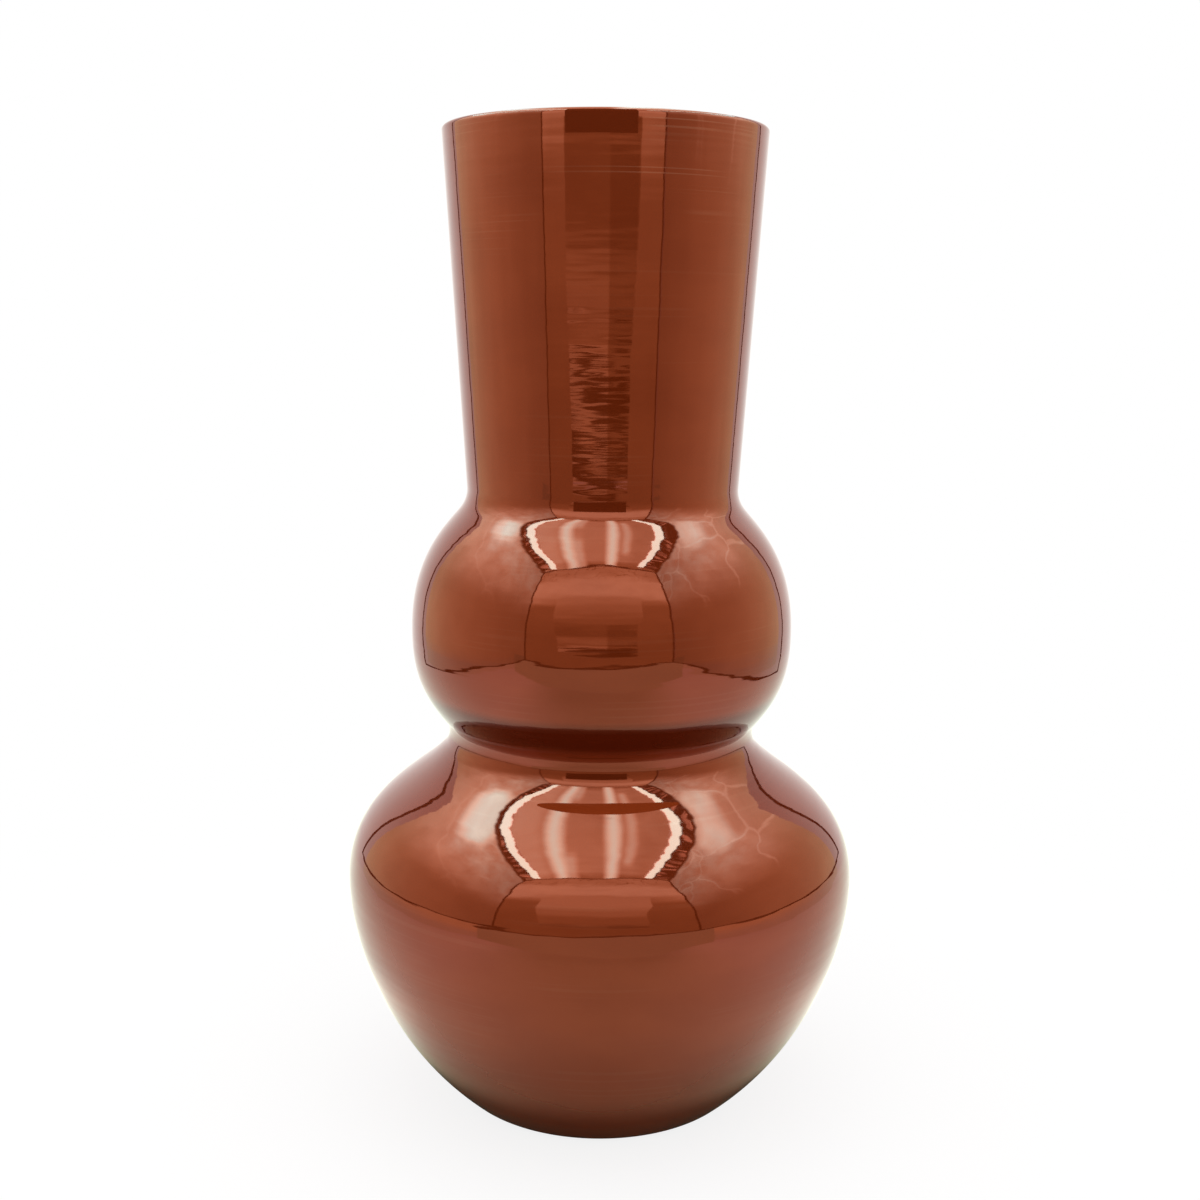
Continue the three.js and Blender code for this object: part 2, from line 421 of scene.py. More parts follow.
def leaning(lean):
    """The direction that leans out from the axis by this angle, or in towards it where that is negative."""
    return Vector((math.sin(lean), math.cos(lean)))


def eased(steps):
    """Shares from 0 to 1, close together at both ends, so that the shading runs on across a seam."""
    return [(1 - math.cos(math.pi * i / steps)) / 2 for i in range(steps + 1)]


def fair(start, leaves, leave_for, end, arrives, arrive_for, steps):
    """A curve that leaves one point along a direction and arrives at another along a second one."""
    first = start + leaves * leave_for
    last = end - arrives * arrive_for
    path = []
    for share in eased(steps):
        rest = 1 - share
        point = (
            rest ** 3 * start + 3 * rest ** 2 * share * first + 3 * rest * share ** 2 * last
            + share ** 3 * end)
        heading = rest ** 2 * (first - start) + 2 * rest * share * (last - first) + share ** 2 * (end - last)
        path.append((point, heading.normalized()))
    return path


def bend(centre, radius, lean_from, lean_to, steps):
    """A hollow bend about a centre outside the vase, from one lean of the outline to the next."""
    path = []
    for share in eased(steps):
        lean = lean_from + (lean_to - lean_from) * share
        path.append((centre + radius * Vector((-math.cos(lean), math.sin(lean))), leaning(lean)))
    return path


def between(points, height):
    """The radius at a height on a line of points that climbs."""
    i = min(max(bisect.bisect_left(points, height, key=lambda point: point.y), 1), len(points) - 1)
    below = points[i - 1]
    above = points[i]
    if above.y == below.y:
        return below.x
    return below.x + (above.x - below.x) * (height - below.y) / (above.y - below.y)


class HalfSection:
    """One side of the vase cut through its axis, in radius and height above the underside of the metal."""

    def __init__(self, size, sheet):
        self.size = size
        self.sheet = sheet
        self.belly_line = size.bowl_height
        self.waist_line = self.belly_line + size.shoulder_height
        self.ball_line = self.waist_line + size.cup_height
        self.crease_line = self.ball_line + size.crown_height
        self.mouth_line = self.crease_line + size.neck_height
        steps = sheet.steps
        upright = Vector((0, 1))
        belly = at(size.belly_radius, self.belly_line)
        ball = at(size.ball_radius, self.ball_line)
        neck_foot = at(size.neck_foot_radius, self.crease_line)
        mouth = at(size.mouth_radius, self.mouth_line)
        neck_lean = math.atan2(mouth.x - neck_foot.x, size.neck_height)
        self.foot_tangent = sheet.foot_edge * math.tan((math.pi / 2 - size.foot_lean) / 2)
        flank = leaning(size.foot_lean)
        bowl_start = at(size.foot_radius, 0) + flank * self.foot_tangent
        waist_centre = at(size.waist_radius + size.waist_bend, self.waist_line)
        below_waist = bend(waist_centre, size.waist_bend, -size.shoulder_lean, 0, steps // 2)
        above_waist = bend(waist_centre, size.waist_bend, 0, size.cup_lean, steps // 2)
        crease_centre = neck_foot + size.crease_bend * Vector((math.cos(neck_lean), -math.sin(neck_lean)))
        crease = bend(crease_centre, size.crease_bend, -size.crown_lean, neck_lean, steps // 2)
        shoulder_end, shoulder_heading = below_waist[0]
        cup_start, cup_heading = above_waist[-1]
        crown_end, crown_heading = crease[0]
        self.bowl = fair(
            bowl_start, flank, size.bowl_flank - self.foot_tangent, belly, upright, size.bowl_upright, steps)
        self.shoulder = fair(
            belly, upright, size.shoulder_upright, shoulder_end, shoulder_heading, size.shoulder_flank, steps)
        self.shoulder += below_waist[1:]
        self.cup = above_waist[:-1] + fair(
            cup_start, cup_heading, size.cup_flank, ball, upright, size.cup_upright, steps)
        self.crown = fair(
            ball, upright, size.crown_upright, crown_end, crown_heading, size.crown_flank, steps)
        self.crown += crease[1:]
        self.neck = [
            (neck_foot.lerp(mouth, share), leaning(neck_lean)) for share in eased(2 * steps)]
        whole = self.bowl + self.shoulder + self.cup + self.crown + self.neck
        self.outside = [point for point, heading in whole]
        self.inside = [
            point + Vector((-heading.y, heading.x)) * sheet.wall for point, heading in whole]

    def inside_radius(self, height):
        return between(self.inside, height)

    def outside_radius(self, height):
        return between(self.outside, height)

    def inside_down(self, high, low):
        """Down the inside wall between two heights, with its ends cut level."""
        shortest = self.sheet.wall / 10
        within = [point for point in self.inside if low + shortest < point.y < high - shortest]
        return [at(self.inside_radius(high), high), *reversed(within), at(self.inside_radius(low), low)]

    def collar_radius(self, seam, height):
        """The outside of a collar clears the wall it slips into and never flares out."""
        return min(self.inside_radius(seam), self.inside_radius(height)) - self.sheet.slip

    def collar(self, seam):
        """Up the outside of a collar and down its inside, then the slope back out to the shell's own wall."""
        wall = self.sheet.wall
        heights = [seam + self.sheet.collar_height * i / 4 for i in range(5)]
        up = [at(self.collar_radius(seam, height), height) for height in heights]
        down = [at(point.x - wall, point.y) for point in reversed(up)]
        return [*up, *down, at(self.collar_radius(seam, seam) - wall, seam - wall)]

    def collar_top(self, seam):
        top = seam + self.sheet.collar_height
        outer = self.collar_radius(seam, top)
        return [at(outer, top), at(outer - self.sheet.wall, top)]

    def slope_foot(self, seam):
        return seam - 2 * self.sheet.wall - self.sheet.slip


def half_section():
    return HalfSection(bpy.context.scene.vase_outline, bpy.context.scene.vase_sheet)


def spun(outline, closed):
    """A mesh turned round the axis from a half outline."""
    shell = bmesh.new()
    points = [shell.verts.new((point.x, 0, point.y + pad_top)) for point in outline]
    lines = [shell.edges.new(pair) for pair in zip(points, points[1:])]
    if closed:
        lines.append(shell.edges.new((points[-1], points[0])))
    bmesh.ops.spin(
        shell, geom=points + lines, cent=(0, 0, 0), axis=(0, 0, 1), angle=math.tau,
        steps=bpy.context.scene.vase_sheet.sides, use_merge=True)
    bmesh.ops.remove_doubles(shell, verts=shell.verts, dist=1e-6)
    bmesh.ops.recalc_face_normals(shell, faces=shell.faces)
    return shell


def reach(point):
    """A point's radius and its height above the underside of the metal."""
    return at(math.hypot(point.x, point.y), point.z - pad_top)


def soften(shell, corners, width):
    """Rounds the circular edges that run through these corners of the outline."""
    near = 1e-5
    marked = {
        vert for vert in shell.verts
        if any((reach(vert.co) - corner).length < near for corner in corners)}
    rims = [edge for edge in shell.edges if edge.verts[0] in marked and edge.verts[1] in marked]
    rounded(shell, rims, width)


def rounded(shell, rims, width):
    bmesh.ops.bevel(
        shell, geom=rims, offset=width, offset_type="OFFSET", segments=ROUND_SEGMENTS, profile=0.5,
        affect="EDGES", material=-1)


def built(shell, name, materials):
    """An object in the scene, from a finished mesh."""
    mesh = bpy.data.meshes.new(name)
    shell.to_mesh(mesh)
    shell.free()
    for look in materials:
        mesh.materials.append(look)
    made = bpy.data.objects.new(name, mesh)
    bpy.context.scene.collection.objects.link(made)
    return made


def piece(shell, name, node, slot, *materials):
    """Makes an object of a finished mesh, in place of its CAD node."""
    for face in shell.faces:
        face.smooth = True
    for edge in shell.edges:
        if len(edge.link_faces) == 2 and edge.calc_face_angle() > SHARP_ANGLE:
            edge.smooth = False
    made = built(shell, name, materials)
    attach(made, "root")
    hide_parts(node)


def line_inside(shell, section):
    """Gives the inside finish to the faces that the outside coat doesn't reach."""
    skin = section.sheet.wall * 0.4
    for face in shell.faces:
        spot = reach(face.calc_center_median())
        under = spot.y < section.sheet.foot_recess * 1.05 and face.normal.z < -0.5
        hem = spot.y > section.mouth_line - section.sheet.hem_depth
        outer = spot.x > section.outside_radius(spot.y) - skin
        face.material_index = 0 if under or hem or outer else 1


def coats():
    return shared("rust_lacquer", lacquer_outside), shared("inside_lacquer", lacquer_inside)


class VASE_OT_bowl(bpy.types.Operator):
    """Spin the lower half of the belly with its closed, pressed bottom"""

    bl_idname = "vase.bowl"
    bl_label = "Belly bowl"

    def execute(self, context):
        section = half_section()
        size = section.size
        sheet = section.sheet
        wall = sheet.wall
        centre = at(size.foot_radius - section.foot_tangent, sheet.foot_edge)
        turn = math.pi / 2 - size.foot_lean
        edge = []
        for i in range(8):
            spot = turn * i / 8
            edge.append(centre + sheet.foot_edge * Vector((math.sin(spot), -math.cos(spot))))
        ring_inside = size.foot_radius - sheet.foot_ring
        recess = at(ring_inside - sheet.foot_recess, sheet.foot_recess)
        ring = at(ring_inside, 0)
        floor_ring = at(ring_inside + wall, wall)
        floor_recess = at(recess.x + wall, recess.y + wall)
        foot = section.slope_foot(section.belly_line)
        wall_down = [point for point in reversed(section.inside) if wall * 1.2 < point.y < foot - wall]
        floor_corner = at(section.inside_radius(wall), wall)
        outline = [
            at(0, sheet.foot_recess), recess, ring, *edge, *[point for point, heading in section.bowl],
            *section.collar(section.belly_line), at(section.inside_radius(foot), foot), *wall_down,
            floor_corner, floor_ring, floor_recess, at(0, floor_recess.y)]
        shell = spun(outline, closed=False)
        soften(shell, [recess, ring, floor_ring, floor_recess], sheet.edge_round * 2)
        soften(shell, section.collar_top(section.belly_line), sheet.edge_round)
        line_inside(shell, section)
        piece(shell, "spun_bowl", "belly_bowl", "lacquer", *coats())
        return {"FINISHED"}


class VASE_OT_shells(bpy.types.Operator):
    """Spin the three shells between the bowl and the neck, each with its collar"""

    bl_idname = "vase.shells"
    bl_label = "Shoulder, cup and crown"

    def execute(self, context):
        section = half_section()
        shells = [
            ("spun_shoulder", "belly_shoulder", section.shoulder, section.belly_line, section.waist_line),
            ("spun_cup", "ball_cup", section.cup, section.waist_line, section.ball_line),
            ("spun_crown", "ball_crown", section.crown, section.ball_line, section.crease_line),
        ]
        for name, node, path, low, high in shells:
            inside = section.inside_down(section.slope_foot(high), low)
            outline = [*[point for point, heading in path], *section.collar(high), *inside]
            shell = spun(outline, closed=True)
            soften(shell, section.collar_top(high), section.sheet.edge_round)
            line_inside(shell, section)
            piece(shell, name, node, "lacquer", *coats())
        return {"FINISHED"}


class VASE_OT_neck(bpy.types.Operator):
    """Spin the neck with its folded hem and round lip"""

    bl_idname = "vase.neck"
    bl_label = "Neck"

    def execute(self, context):
        section = half_section()
        sheet = section.sheet
        lip = sheet.wall
        round_from = section.mouth_line - lip
        centre = at(section.outside_radius(round_from) - lip, round_from)
        round_lip = []
        for i in range(LIP_STEPS + 1):
            turn = math.pi * i / LIP_STEPS
            round_lip.append(centre + lip * Vector((math.cos(turn), math.sin(turn))))
        rise = [point for point, heading in section.neck if point.y < round_from - lip / 4]
        hem_foot = section.mouth_line - sheet.hem_depth
        hem_corner = at(section.outside_radius(hem_foot) - 2 * lip, hem_foot)
        wall_down = section.inside_down(hem_foot, section.crease_line)
        outline = [*rise, *round_lip, hem_corner, *wall_down]
        shell = spun(outline, closed=True)
        soften(shell, [hem_corner], sheet.edge_round)
        line_inside(shell, section)
        piece(shell, "spun_neck", "neck", "lacquer", *coats())
        return {"FINISHED"}


class VASE_OT_solder(bpy.types.Operator):
    """Lay the four rings of solder on top of the collars"""

    bl_idname = "vase.solder"
    bl_label = "Seam solder"

    def execute(self, context):
        section = half_section()
        sheet = section.sheet
        seams = {
            "belly_seam_solder": section.belly_line,
            "waist_seam_solder": section.waist_line,
            "ball_seam_solder": section.ball_line,
            "neck_seam_solder": section.crease_line,
        }
        thinnest = sheet.wall / 5
        for node, seam in seams.items():
            low = seam + sheet.collar_height
            inner = section.collar_radius(seam, low) - sheet.wall
            widest = section.inside_radius(low) - sheet.slip - inner - thinnest
            up = []
            down = []
            for share in eased(10):
                height = low + sheet.solder_height * share
                outer = section.inside_radius(height) - sheet.slip
                up.append(at(outer, height))
                down.append(at(outer - widest * (1 - share) ** 2 - thinnest, height))
            down.reverse()
            ring = spun([*up, *down], closed=True)
            look = shared("coated_solder", coated_solder)
            piece(ring, node.replace("solder", "ring"), node, "solder", look)
        return {"FINISHED"}


class VASE_OT_pads(bpy.types.Operator):
    """Cut the four felt pads under the foot"""

    bl_idname = "vase.pads"
    bl_label = "Felt pads"

    def execute(self, context):
        edge_round = context.scene.vase_sheet.pad_edge
        for number in range(1, 5):
            node = f"felt_pad_{number}"
            low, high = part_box(node)
            middle = (low + high) / 2
            pad = bmesh.new()
            disc = bmesh.ops.create_circle(pad, cap_ends=True, segments=64, radius=(high.x - low.x) / 2)
            bmesh.ops.translate(pad, verts=disc["verts"], vec=(middle.x, middle.y, low.z))
            grown = bmesh.ops.extrude_face_region(pad, geom=pad.faces[:])
            top = [part for part in grown["geom"] if isinstance(part, bmesh.types.BMVert)]
            bmesh.ops.translate(pad, verts=top, vec=(0, 0, high.z - low.z))
            bmesh.ops.recalc_face_normals(pad, faces=pad.faces)
            rims = [edge for edge in pad.edges if edge.calc_face_angle() > SHARP_ANGLE]
            rounded(pad, rims, edge_round)
            piece(pad, f"felt_dot_{number}", node, "felt", shared("pad_felt", pad_felt))
        return {"FINISHED"}


def glow(name, shade_of):
    """A material that only shines, with the colour and strength that shade_of returns."""
    look = material(name)
    shade, strength = shade_of(look, bpy.context.scene.vase_studio)
    return look.surface(look.shine(shade, strength))


def card(name, corners, *materials, border=0.0):
    """A flat panel of the studio that shows only in reflections. Its border takes the second material."""
    panel = bmesh.new()
    face = panel.faces.new([panel.verts.new(corner) for corner in corners])
    panel.normal_update()
    if border:
        rim = bmesh.ops.inset_region(
            panel, faces=[face], thickness=border, depth=0, use_boundary=True, use_even_offset=True)
        for part in rim["faces"]:
            part.material_index = 1
    mirrored_only(set_up(panel, name, *materials))


def flag(name, look, start, end, turn_from, turn_to):
    """A narrow card bent round the vase: the line from start to end, each a radius and a height above the
    underside of the metal, turned about the axis between two angles from the front."""
    panel = bmesh.new()
    ends = [panel.verts.new((0, -point.x, point.y + pad_top)) for point in (start, end)]
    line = panel.edges.new(ends)
    centre = (0, 0, 0)
    bmesh.ops.rotate(panel, verts=ends, cent=centre, matrix=Matrix.Rotation(turn_from, 3, "Z"))
    bmesh.ops.spin(
        panel, geom=[*ends, line], cent=centre, axis=(0, 0, 1), angle=turn_to - turn_from, steps=24)
    mirrored_only(set_up(panel, name, look))


def mirrored_only(made):
    """Keeps a panel of the studio out of everything but reflections."""
    made.visible_camera = False
    made.visible_diffuse = False
    made.visible_transmission = False
    made.visible_volume_scatter = False
    made.visible_shadow = False


def facing_front(left, right, y, low, high):
    """The corners of an upright panel that runs along X."""
    return [(left, y, low), (right, y, low), (right, y, high), (left, y, high)]


def facing_side(x, near, far, low, low_far, high):
    """The corners of an upright panel that runs along Y."""
    return [(x, near, low), (x, far, low_far), (x, far, high), (x, near, high)]


def set_up(panel, name, *materials):
    made = built(panel, name, materials)
    return made


def table_top(studio):
    """A pale table that keeps the vase's shadow and fades into the white background. As the lacquer mirrors
    it, it has painted light beside, behind and ahead of the vase, and a painted shadow round the foot.
    """
    look = material("pale_table")
    camera = look.node("ShaderNodeLightPath")
    mirrored = look.either(camera.other("Is Glossy Ray"), camera.other("Is Transmission Ray"))
    away = look.vector("LENGTH", {0: look.place()}, "Value")
    distance = look.fade(away, 0.3, 0.7)
    x, y = look.axes("XY")
    # Painted light: beside and behind the vase, the mirrored table is brighter and takes the open table
    # colour.
    beside = look.fade(abs(x) + 0.6 * y, -0.1, 0.14) * look.fade(away, 0.05, 0.08)
    shade = look.blend(camera, look.blend(beside, studio.table, studio.table_open), studio.white)
    # Painted shadow: the mirrored table is darker round the foot of the vase.
    under = mirrored * look.fade(away, 0.064, 0.05)
    matt = look.node("ShaderNodeBsdfDiffuse", {}, {
        "Color": look.blend(0.2 + 0.6 * under, shade, (0.0, 0.0, 0.0))})
    # Painted light: more glow ahead of the foot and in a ring behind the vase, for mirrored rays only.
    ahead = look.fade(away, 0.065, 0.11) - 0.5 * look.fade(away, 0.15, 0.3) * (1.0 - beside)
    close = look.band(away, 0.095, 0.02, 0.02) * look.fade(y, -0.05, 0.0)
    lit = look.shine(shade, 0.34 * camera + mirrored * (0.32 * ahead + 0.42 * beside + 0.35 * close))
    near = look.node("ShaderNodeAddShader", {}, {0: matt, 1: lit})
    white = look.shine(
        look.blend(camera, studio.backdrop, studio.white),
        1.0 + (studio.backdrop_strength - 1.0) * (1.0 - camera))
    share = distance * mirrored + camera * (0.76 + 0.24 * look.fade(away, 0.12, 0.4))
    return look.surface(look.node("ShaderNodeMixShader", {}, {0: share, 1: near, 2: white}))


def surroundings(studio):
    look = Look(bpy.data.worlds.new("white_surroundings"))
    path = look.node("ShaderNodeLightPath")
    seen = look.either(
        path.other("Is Camera Ray"), path.other("Is Glossy Ray") + path.other("Is Transmission Ray"))
    strength = studio.ambient + (1.0 - studio.ambient) * seen
    return look.surface(
        look.node("ShaderNodeBackground", {}, {"Color": opaque(studio.white), "Strength": strength}))


def cloth(look, studio, level):
    """Colour and level of cloth at a level of light: warm where it is dim, cool near the lamps."""
    lit = look.blend(look.fade(level, 0.3, 2.4), studio.cloth_dim, studio.cloth_lit)
    bright = look.blend(look.fade(level, 1.6, 5.5), lit, studio.cloth_bright)
    return look.blend(look.fade(level, 5.0, 12.0), bright, studio.strip_light), level


def creases(look, per_metre, width):
    """Thin winding lines, as in cloth that has been folded."""
    return look.band(look.noise((per_metre, per_metre, per_metre), 2.0), 0.5, 0.0, width)


def front_cloth(look, studio):
    [z] = look.axes("Z")
    folds = look.noise((14, 14, 20), 4.0)
    above = look.fade(z, 0.26, 0.345)
    valance = look.fade(z, 0.40, 0.45)
    level = (
        0.6 + 0.2 * look.fade(z, 0.16, 0.25) + 1.7 * above - 0.75 * valance
        + (0.15 + 0.8 * above) * (folds - 0.5) - 1.2 * valance * creases(look, 14, 0.012))
    return cloth(look, studio, level)


def side_cloth(studio):
    """Thin cloth at the sides. The lit screen behind it shows through, least near the camera."""
    look = material("side_cloth")
    x, y, z = look.axes("XYZ")
    clear = (
        0.43 + 0.57 * look.fade(y, -0.29, 0.1) - 0.07 * look.fade(x, 0.0, 0.1)
        - 0.08 * look.fade(y, 0.07, 0.16))
    folds = look.noise((16, 16, 16), 3.0)
    gap = look.fade(z, studio.tent_top - 0.012, studio.tent_top - 0.03)
    share = clear * gap * (0.96 + 0.24 * (folds - 0.5))
    return look.see_through(share, look.shine((1.0, 0.7, 0.3), 0.12))


def side_screen(look, studio):
    """The screen behind the side cloth, brighter towards its lamps above."""
    x, y, z = look.axes("XYZ")
    right = look.fade(x, 0.0, 0.1)
    folds = look.noise((11, 11, 11), 4.0)
    climb = look.fade(z, 0.25, 0.62) * (1.0 - (0.45 + 0.15 * right) * look.fade(y, 0.06, 0.2))
    across = y - 0.135 + 0.085 * right
    glare = look.fade(across * across + (z - 0.73) * (z - 0.73), 0.03, 0.0) * (9.5 - 4.5 * right)
    drift = look.node("ShaderNodeTexNoise", {}, {"Vector": look.place(), "Scale": 3.0}, output="Color")
    bent = look.vector("ADD", {0: look.place(), 1: look.vector("SCALE", {0: drift, "Scale": 0.3})})
    edges = look.node(
        "ShaderNodeTexVoronoi", {"feature": "DISTANCE_TO_EDGE"}, {"Vector": bent, "Scale": 2.8},
        output="Distance")
    pressed = look.fade(edges, 0.03, 0.0) * look.fade(z, 0.27, 0.34) * (0.14 + 0.3 * right)
    low = look.fade(z, 0.075, 0.02)
    wrinkles = 1.0 + (0.15 + 1.2 * climb) * (folds - 0.5) + pressed
    level = 1.46 * (1.0 + 2.5 * climb) * wrinkles * (1.0 - 0.2 * low) + glare
    shade = cloth(look, studio, 0.85 * level)[0]
    return look.blend(low, shade, (0.98, 1.0, 0.8)), level


def ceiling_cloth(look, studio):
    """The ceiling, with four streaks of light on it."""
    x, y = look.axes("XY")
    left = look.band(x, -0.113, 0.016, 0.02)
    right = look.band(x, 0.034, 0.012, 0.018)
    fainter = look.band(x, 0.078, 0.008, 0.015) * look.fade(y, -0.22, -0.18)
    faintest = look.band(x, -0.077, 0.01, 0.016) * look.fade(y, -0.12, -0.16)
    folds = look.noise((10, 30, 10), 3.0)
    base = 2.25 + 1.2 * look.fade(x, -0.12, -0.17) - 0.3 * look.fade(x, 0.08, 0.12)
    level = (
        base * (1.0 - 0.4 * look.fade(y, -0.24, -0.28)) + 1.2 * (folds - 0.5)
        + 8.0 * left + 7.8 * right + 2.6 * fainter + 2.6 * faintest)
    return cloth(look, studio, level)


def ragged_light(look, studio):
    """A strip light with ragged edges, as the uneven metal mirrors it."""
    x, y = look.axes("XY")
    ahead = look.node("ShaderNodeMath", {"operation": "MINIMUM"}, {0: y, 1: 0.0})
    edge = -studio.strip_left + (studio.strip_right + studio.strip_left) * look.fade(x, -0.01, 0.01)
    inset = edge - abs(x) + STRIP_SPLAY * ahead
    ragged = 0.014 * (look.noise((8, 75, 8), 3.0) - 0.5)
    lit = look.fade(inset + ragged, 0.002, 0.006)
    inner = look.fade(inset - 1.3 * ragged, studio.strip_width - 0.002, studio.strip_width - 0.007)
    level = lit * (STRIP_RIM + (studio.strip_strength - STRIP_RIM) * inner)
    return look.blend(inner, (0.95, 1.0, 0.85), studio.strip_light), level


def ragged_gap(look, studio):
    """The dark gap between a strip light and the wall, with light spilling over in places."""
    spill = look.fade(look.noise((10, 70, 10), 3.0), 0.5, 0.64)
    return (1.0, 0.85, 0.65), 0.05 + 2.2 * spill


def beyond_door(look, studio):
    """What shows through the opening: fine level bands, a dim stretch, and a bright wall above."""
    x, z = look.axes("XZ")
    blinds = look.fade(look.noise((2.5, 7, 130), 0.5), 0.44, 0.56)
    banded = look.fade(z, 0.142, 0.128)
    ripples = look.noise((5, 5, 180), 2.0)
    right = look.band(x, 0.19, 0.145, 0.012) * look.fade(z, 0.3, 0.28) * (1.0 + 0.5 * look.fade(z, 0.2, 0.13))
    climb = 0.5 + 0.5 * look.band(z, 0.172, 0.03, 0.025) + 0.32 * look.fade(z, 0.27, 0.33)
    above = 0.45 * look.fade(z, 0.36, 0.46) + 0.5 * look.fade(z, 0.46, 0.62)
    plain = climb + 0.3 * (ripples - 0.5) + above
    level = plain + banded * (0.06 + 1.25 * blinds - plain)
    return cloth(look, studio, level * (1.0 - 0.35 * right))


def open_front(studio):
    """The front cloth with its opening, a little narrower at the foot."""
    look = material("front_cloth")
    x, z = look.axes("XZ")
    left = studio.door_left - 0.021 * look.fade(z, 0.13, 0.24)
    right = studio.door_right + 0.022 * look.fade(z, 0.19, 0.25)
    across = look.fade(x, left - 0.001, left + 0.002) * look.fade(x, right + 0.002, right - 0.001)
    door = across * look.fade(z, studio.door_low - 0.002, studio.door_low) * look.fade(
        z, studio.door_high + 0.003, studio.door_high)
    return look.see_through(door, look.shine(*front_cloth(look, studio)))


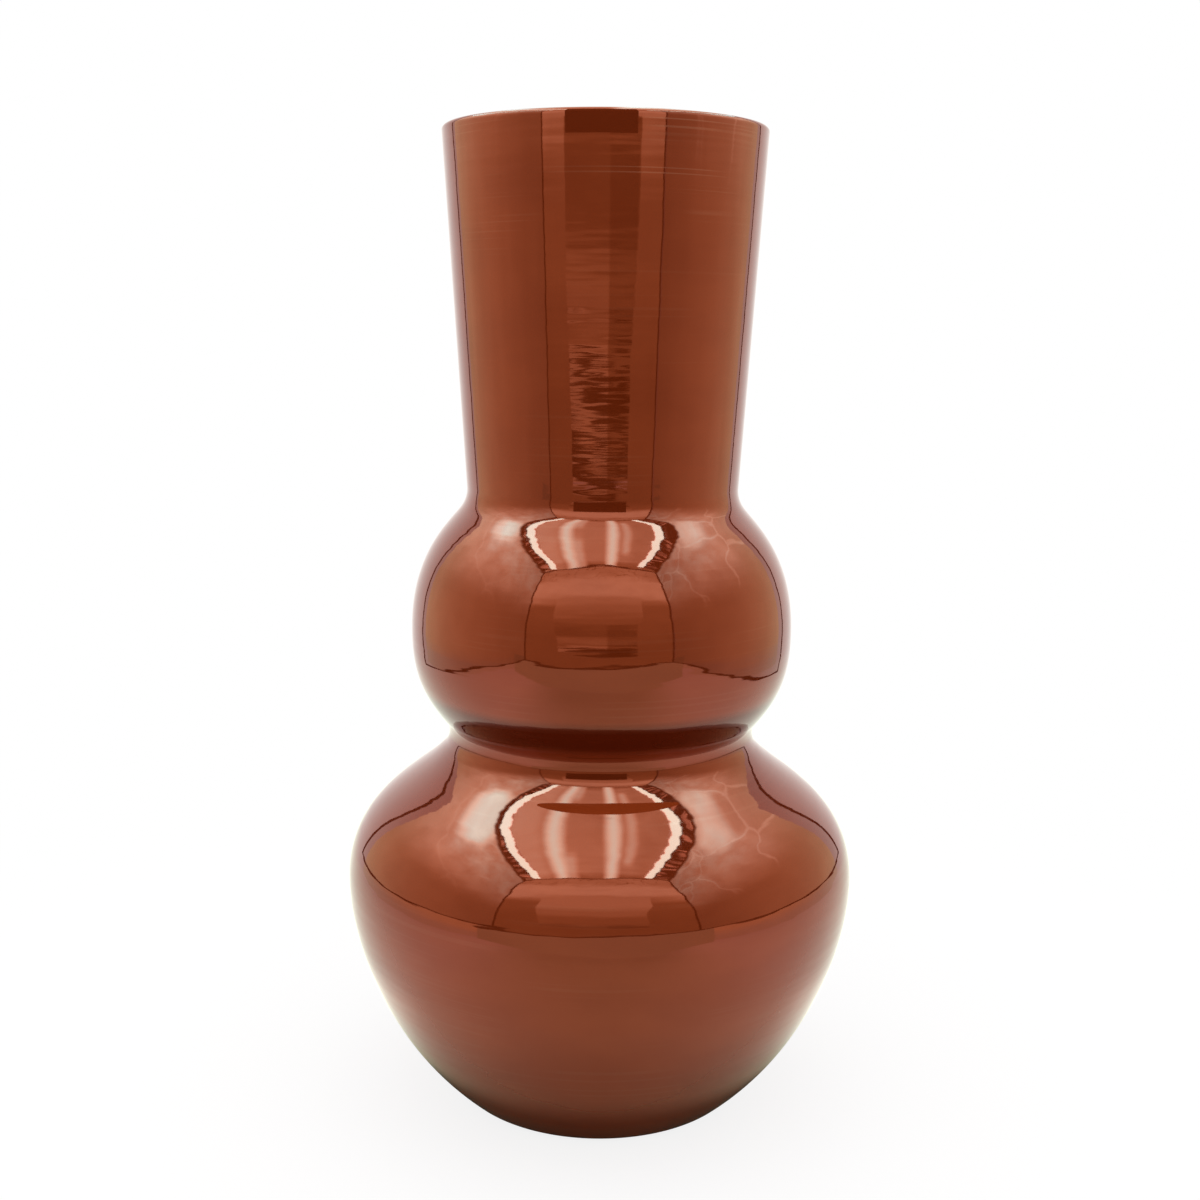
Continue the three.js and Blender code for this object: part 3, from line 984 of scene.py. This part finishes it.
class VASE_OT_stage(bpy.types.Operator):
    """Set up the table, the light tent, the lamps and the camera"""

    bl_idname = "vase.stage"
    bl_label = "Studio"

    def execute(self, context):
        studio = context.scene.vase_studio
        table = bmesh.new()
        bmesh.ops.create_grid(table, x_segments=1, y_segments=1, size=2.0)
        set_up(table, "table_top", table_top(studio))
        context.scene.world = surroundings(studio)
        self.tent(studio)
        self.flags()
        self.lamps(studio)
        self.camera(context, studio)
        context.scene.view_settings.view_transform = "Standard"
        return {"FINISHED"}

    def tent(self, studio):
        left, right = studio.tent_left, studio.tent_right
        front, back, top = studio.tent_front, studio.tent_back, studio.tent_top
        low, low_back = studio.front_hem, studio.back_hem
        seam = studio.seam_width
        binding = glow("tent_binding", lambda look, studio: DARK)
        walls = side_cloth(studio)
        screen = glow("side_screen", side_screen)
        lights = glow("strip_light", ragged_light)
        shade = glow("strip_shade", ragged_gap)
        card("tent_front", facing_front(left, right, front, low, top), open_front(studio), binding,
             border=seam)
        card("tent_ceiling", [(left, front, top), (right, front, top), (right, back, top), (left, back, top)],
             glow("ceiling_cloth", ceiling_cloth), binding, border=seam)
        under = top - 0.003
        ahead = front + 0.016
        hem_width = 0.012
        for side, edge, outer in (("left", left, studio.strip_left), ("right", right, studio.strip_right)):
            facing = math.copysign(1, edge)
            card(f"tent_{side}", facing_side(edge, front, back, low, low_back, top), walls, binding,
                 border=seam)
            beyond = edge + facing * studio.outer_gap
            card(f"screen_{side}", facing_side(beyond, -0.5, 0.3, 0, 0, 1), screen)
            within = edge - facing * 0.001
            card(f"hem_{side}", facing_side(within, back - hem_width, back, low_back, low_back, top), binding)
            outer_ahead = outer - facing * STRIP_SPLAY * abs(ahead)
            inner = outer - facing * studio.strip_width
            inner_ahead = outer_ahead - facing * studio.strip_width
            outside = [(outer_ahead, ahead, under), (outer, 0, under), (outer, back, under)]
            card(f"strip_{side}", [
                (inner_ahead, ahead, under), *outside, (inner, back, under), (inner, 0, under)], lights)
            card(f"shade_{side}", [
                outside[0], (edge, ahead, under), (edge, back, under), *reversed(outside[1:])], shade)
        card("beyond_door", facing_front(-0.52, 0.44, -0.8, 0, 1.1), glow("beyond_door", beyond_door))
        card("table_beyond", facing_front(-0.4, 0.36, -0.35, 0, 0.094),
             glow("table_beyond", lambda look, studio: (studio.table, 0.98)))
        card("backdrop", facing_front(-1.5, 1.5, 0.6, 0, 1.5),
             glow("backdrop", lambda look, studio: (studio.backdrop, studio.backdrop_strength)))

    def flags(self):
        """Dark cards close to the vase, which the lip and the two hollow bends mirror as short bars: painted
        reflections.
        """
        section = half_section()
        size = section.size
        # Painted reflection: these dark cards stand in for the dark bars that the lip and the hollow bends
        # mirror.
        dark = glow("dark_flag", lambda look, studio: DARK)
        for name, radius, line, low, high, turn_from, turn_to in (
                ("lip_flag", size.mouth_radius + 0.003, section.mouth_line, -0.0068, 0.006, -14, 11),
                ("crease_flag", size.neck_foot_radius + 0.0021, section.crease_line, -0.0023, -0.0007,
                 -12, 9.5),
                ("waist_flag", size.waist_radius + 0.0025, section.waist_line, -0.0019, -0.0011, -12.5, 9.5)):
            flag(
                name, dark, at(radius, line + low), at(radius, line + high), math.radians(turn_from),
                math.radians(turn_to))
        self.painted_ball_reflection(section)

    def painted_ball_reflection(self, section):
        """A lens-shaped card over the shoulder, which glows as a painted reflection: the shoulder mirrors it
        as the dim underside of the ball.
        It shows from below only."""
        look = material("painted_ball_reflection")
        above = look.node("ShaderNodeNewGeometry", output="Backfacing")
        # Painted reflection: the glow stands for the dim red underside of the ball, as the shoulder mirrors
        # it.
        shade = look.see_through(above, look.shine((1.0, 0.5, 0.14), 0.74))
        panel = bmesh.new()
        disc = bmesh.ops.create_circle(panel, cap_ends=True, segments=64, radius=1)
        level = section.waist_line - 0.0041 + pad_top
        for vert in disc["verts"]:
            turn = math.radians(2.9 + 24.6 * vert.co.x)
            radius = section.size.waist_radius + 0.0073 + 0.00125 * vert.co.y
            vert.co = Vector((radius * math.sin(turn), -radius * math.cos(turn), level))
        panel.normal_update()
        upward = [face for face in panel.faces if face.normal.z > 0]
        bmesh.ops.reverse_faces(panel, faces=upward)
        mirrored_only(set_up(panel, "painted_ball_reflection", shade))

    def lamps(self, studio):
        light = bpy.data.lights.new("soft_overhead", "AREA")
        light.shape = "RECTANGLE"
        light.size, light.size_y = LAMP_SIZE
        light.energy = studio.overhead
        lamp = bpy.data.objects.new("soft_overhead", light)
        lamp.location = LAMP_PLACE
        lamp.visible_glossy = False
        bpy.context.scene.collection.objects.link(lamp)

    def camera(self, context, studio):
        view = bpy.data.cameras.new("photo_camera")
        view.lens = studio.lens
        view.sensor_width = 36
        view.clip_start = 0.01
        seat = bpy.data.objects.new("photo_camera", view)
        place = Matrix.Translation(CAMERA_PLACE)
        down = Matrix.Rotation(math.radians(90 - CAMERA_TILT), 4, "X")
        roll = Matrix.Rotation(math.radians(CAMERA_ROLL), 4, "Z")
        seat.matrix_world = place @ down @ roll
        context.scene.collection.objects.link(seat)
        context.scene.camera = seat


class VASE_PT_panel(bpy.types.Panel):
    """Sizes, colours and steps of the vase"""

    bl_idname = "VASE_PT_panel"
    bl_label = "Lacquered Spun Vase"
    bl_space_type = "VIEW_3D"
    bl_region_type = "UI"
    bl_category = "Vase"

    def draw(self, context):
        layout = self.layout
        for group in [getattr(context.scene, name) for name in GROUPS]:
            box = layout.box()
            for name in group.bl_rna.properties.keys():
                if name not in {"rna_type", "name"}:
                    box.prop(group, name)
        for operator in OPERATORS:
            layout.operator(operator.bl_idname)


GROUPS = {
    "vase_outline": VaseOutline,
    "vase_sheet": VaseSheet,
    "vase_finish": VaseFinish,
    "vase_studio": VaseStudio,
}
OPERATORS = (VASE_OT_bowl, VASE_OT_shells, VASE_OT_neck, VASE_OT_solder, VASE_OT_pads, VASE_OT_stage)


def register():
    for name, group in GROUPS.items():
        bpy.utils.register_class(group)
        setattr(bpy.types.Scene, name, PointerProperty(type=group))
    for operator in OPERATORS:
        bpy.utils.register_class(operator)
    bpy.utils.register_class(VASE_PT_panel)


def unregister():
    bpy.utils.unregister_class(VASE_PT_panel)
    for operator in reversed(OPERATORS):
        bpy.utils.unregister_class(operator)
    for name, group in GROUPS.items():
        delattr(bpy.types.Scene, name)
        bpy.utils.unregister_class(group)


def main():
    register()
    bpy.ops.vase.bowl()
    bpy.ops.vase.shells()
    bpy.ops.vase.neck()
    bpy.ops.vase.solder()
    bpy.ops.vase.pads()
    bpy.ops.vase.stage()


if __name__ == "__main__":
    main()
